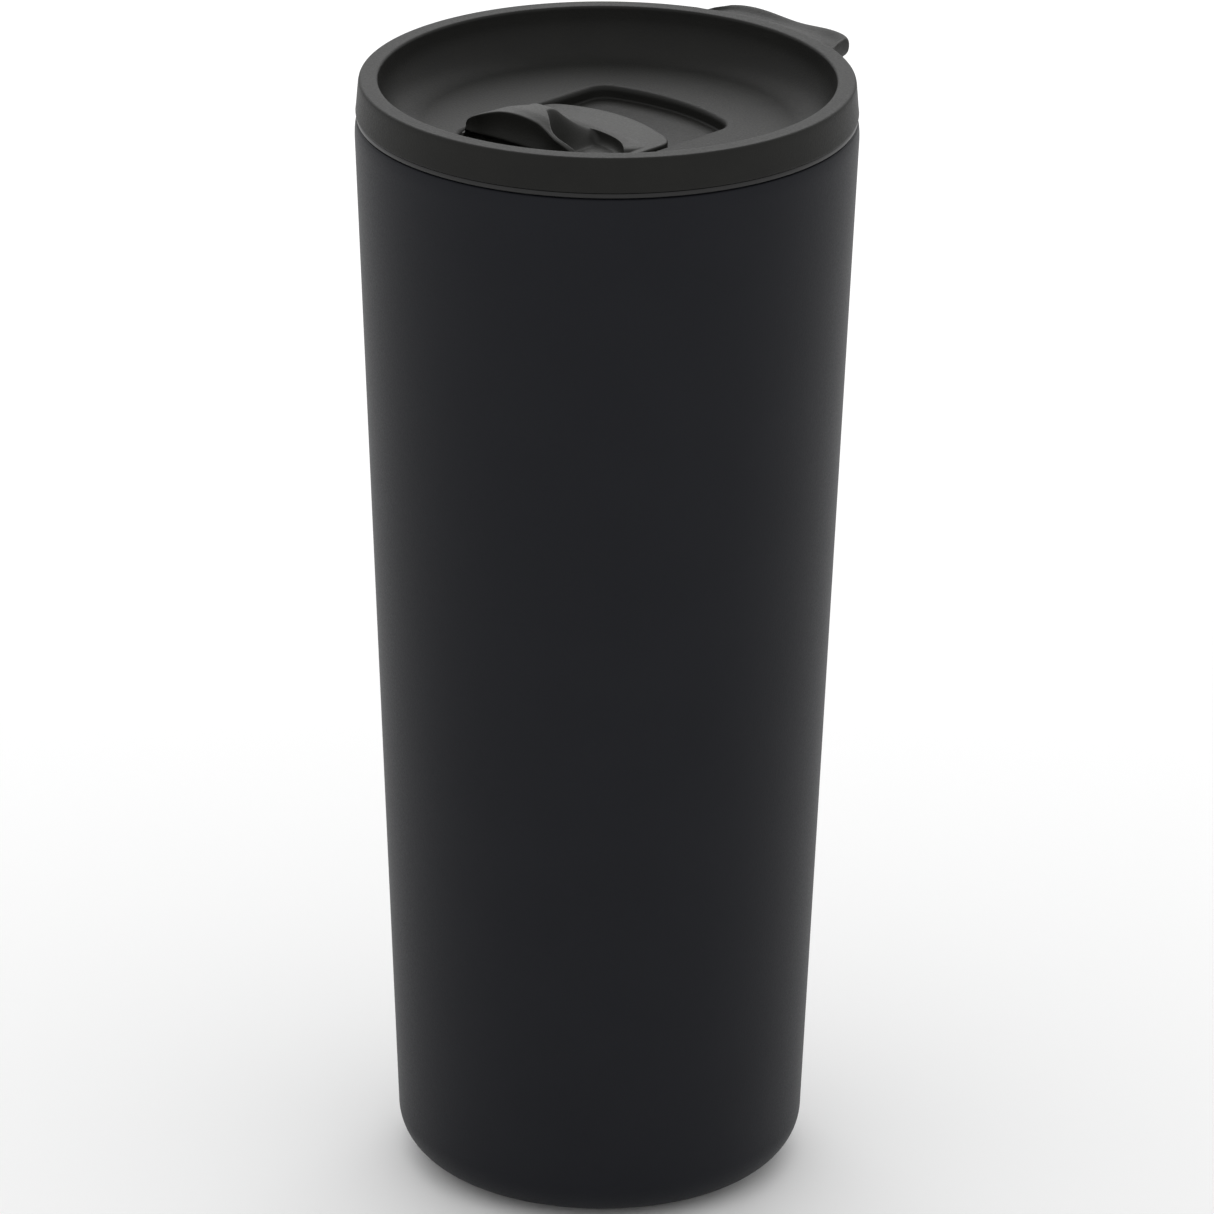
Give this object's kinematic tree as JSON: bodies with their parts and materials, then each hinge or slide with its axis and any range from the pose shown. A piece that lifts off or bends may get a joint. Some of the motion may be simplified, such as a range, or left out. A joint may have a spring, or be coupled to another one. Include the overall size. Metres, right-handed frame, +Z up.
{
  "type": "insulated travel mug",
  "caption": "Slim conical double-wall steel travel mug with a press-in plastic lid, a sliding drinking closure with a thumb grip and a lift tab.",
  "frame": {"origin": "centre of the flat underside, on the surface the mug stands on", "axes": "+Z up along the mug's axis, +Y towards the lift tab, -Y towards the side one drinks from"},
  "size_m": [0.0848, 0.0909, 0.197],
  "materials": {
    "powder_coat": "fine matt black powder coat on stainless steel",
    "bare_steel": "pressed stainless steel, satin",
    "liner_steel": "electropolished stainless steel",
    "copper_foil": "bright rolled foil",
    "getter_metal": "pressed metal powder",
    "seal_glass": "fused solder glass bead",
    "foot_silicone": "matt black silicone",
    "lid_plastic": "black moulded polypropylene with fine spark texture",
    "slider_plastic": "black moulded polypropylene, satin",
    "seal_silicone": "black moulded silicone, low sheen"
  },
  "bodies": {
    "mug": {"outer_shell": "powder_coat", "shell_base": "bare_steel", "inner_liner": "liner_steel", "liner_foil": "copper_foil", "getter": "getter_metal", "getter_clip": "bare_steel", "vacuum_seal": "seal_glass", "base_cover": "bare_steel", "foot_ring": "foot_silicone"},
    "lid": {"lid_body": "lid_plastic", "lid_seal": "seal_silicone"},
    "slider": {"slider": "slider_plastic", "slider_seal": "seal_silicone", "slider_retainer": "slider_plastic"}
  },
  "joints": [
    {"name": "lid_lift", "type": "slide", "parent": "mug", "child": "lid", "axis": [0, 0, 1], "range_m": [0, 0.04]},
    {"name": "slider_slide", "type": "slide", "parent": "lid", "child": "slider", "axis": [0, 1, 0], "range_m": [0, 0.0132]}
  ]
}
